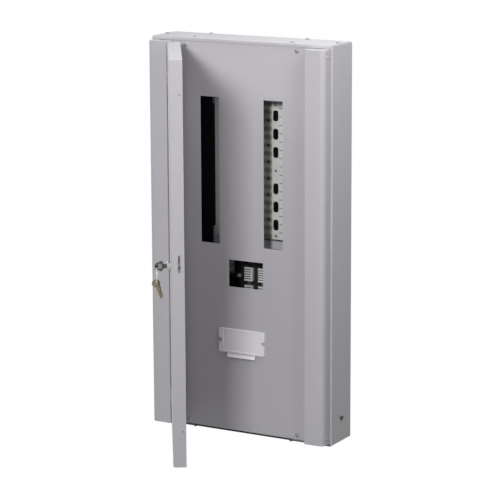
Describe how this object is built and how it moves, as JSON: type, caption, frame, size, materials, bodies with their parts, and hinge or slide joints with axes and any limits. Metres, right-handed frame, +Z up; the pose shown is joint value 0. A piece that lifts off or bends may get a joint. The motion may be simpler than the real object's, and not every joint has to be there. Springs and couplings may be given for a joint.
{
  "type": "subpanel enclosure",
  "caption": "Wall-hung sheet-steel distribution enclosure with side wings, a hinged door with a keyed cam lock, a front panel with breaker windows, and a busbar pan behind it.",
  "frame": {"origin": "centre of the back face that sits on the wall, at the middle of the wall fixing holes", "axes": "+X to the right seen from the front, +Y into the wall, +Z up"},
  "size_m": [0.43, 0.3924, 0.846],
  "materials": {
    "painted_steel": "light grey powder coat, fine texture",
    "zinc_plate": "bright zinc plating",
    "dark_steel": "blackened steel",
    "tray_black": "matt black paint",
    "white_plastic": "white moulded plastic, satin",
    "shroud_plastic": "grey-green moulded plastic, satin",
    "black_plastic": "black moulded plastic",
    "copper": "bare copper bar",
    "brass": "bare brass, slightly dulled",
    "lock_chrome": "polished chrome plate",
    "key_nickel": "nickel plate"
  },
  "bodies": {
    "enclosure": {"body_shell": "painted_steel", "upper_cross_rail": "painted_steel", "lower_cross_rail": "painted_steel", "top_end_plate": "painted_steel", "bottom_end_plate": "painted_steel", "left_wing": "painted_steel", "right_wing": "painted_steel", "left_wing_caps": "painted_steel", "right_wing_caps": "painted_steel", "wing_cap_screws": "painted_steel", "front_panel": "painted_steel", "fixed_hinge_leaves": "zinc_plate", "panel_screws": "zinc_plate", "top_end_screws": "zinc_plate", "bottom_end_screws": "zinc_plate", "wing_rivets": "zinc_plate", "hinge_pins": "zinc_plate", "fixed_leaf_rivets": "zinc_plate", "pan_standoffs": "zinc_plate", "pan_screws": "zinc_plate", "upper_pan_bracket": "zinc_plate", "lower_pan_bracket": "zinc_plate", "strip_screws": "zinc_plate", "neutral_screws": "zinc_plate", "earth_screws": "zinc_plate", "earth_supports": "zinc_plate", "incomer_studs": "zinc_plate", "side_earth_bolt": "dark_steel", "pan_tray": "tray_black", "blanking_plate": "white_plastic", "left_device_strip": "white_plastic", "right_device_strip": "white_plastic", "incomer_blocks": "white_plastic", "busbar_shroud": "shroud_plastic", "busbar_supports": "black_plastic", "left_tap_sockets": "black_plastic", "right_tap_sockets": "black_plastic", "neutral_supports": "black_plastic", "incomer_carrier": "black_plastic", "busbar_l1": "copper", "busbar_l2": "copper", "busbar_l3": "copper", "neutral_bar": "brass", "earth_bar": "brass", "side_earth_nut": "brass"},
    "door": {"door_pan": "painted_steel", "door_hinge_leaves": "zinc_plate", "door_leaf_rivets": "zinc_plate", "lock_body": "lock_chrome", "lock_nut": "zinc_plate"},
    "lock_turn_set": {"lock_plug": "lock_chrome", "lock_cam": "zinc_plate", "cam_screw": "zinc_plate"},
    "door_key": {"key": "key_nickel"},
    "ring": {"key_ring": "key_nickel"},
    "hanging_key": {"spare_key": "brass"}
  },
  "joints": [
    {"name": "door_hinge", "type": "hinge", "parent": "enclosure", "child": "door", "pos_m": [-0.1595, -0.115, 0], "axis": [0, 0, -1], "range_deg": [-58.1, 61.9]},
    {"name": "lock_turn", "type": "hinge", "parent": "door", "child": "lock_turn_set", "pos_m": [-0.01204, -0.36893, -0.003], "axis": [0.849, 0.5284, 0], "range_deg": [0, 90]},
    {"name": "key_withdraw", "type": "slide", "parent": "lock_turn_set", "child": "door_key", "axis": [-0.849, -0.5284, 0], "range_m": [0, 0.03]},
    {"name": "key_ring_swing", "type": "hinge", "parent": "door_key", "child": "ring", "pos_m": [-0.02911, -0.37955, -0.0047], "axis": [0.5284, -0.849, 0], "range_deg": [-35, 8]},
    {"name": "spare_key_swing", "type": "hinge", "parent": "ring", "child": "hanging_key", "pos_m": [-0.02911, -0.37955, -0.0327], "axis": [0.5284, -0.849, 0], "range_deg": [-30, 5]}
  ]
}
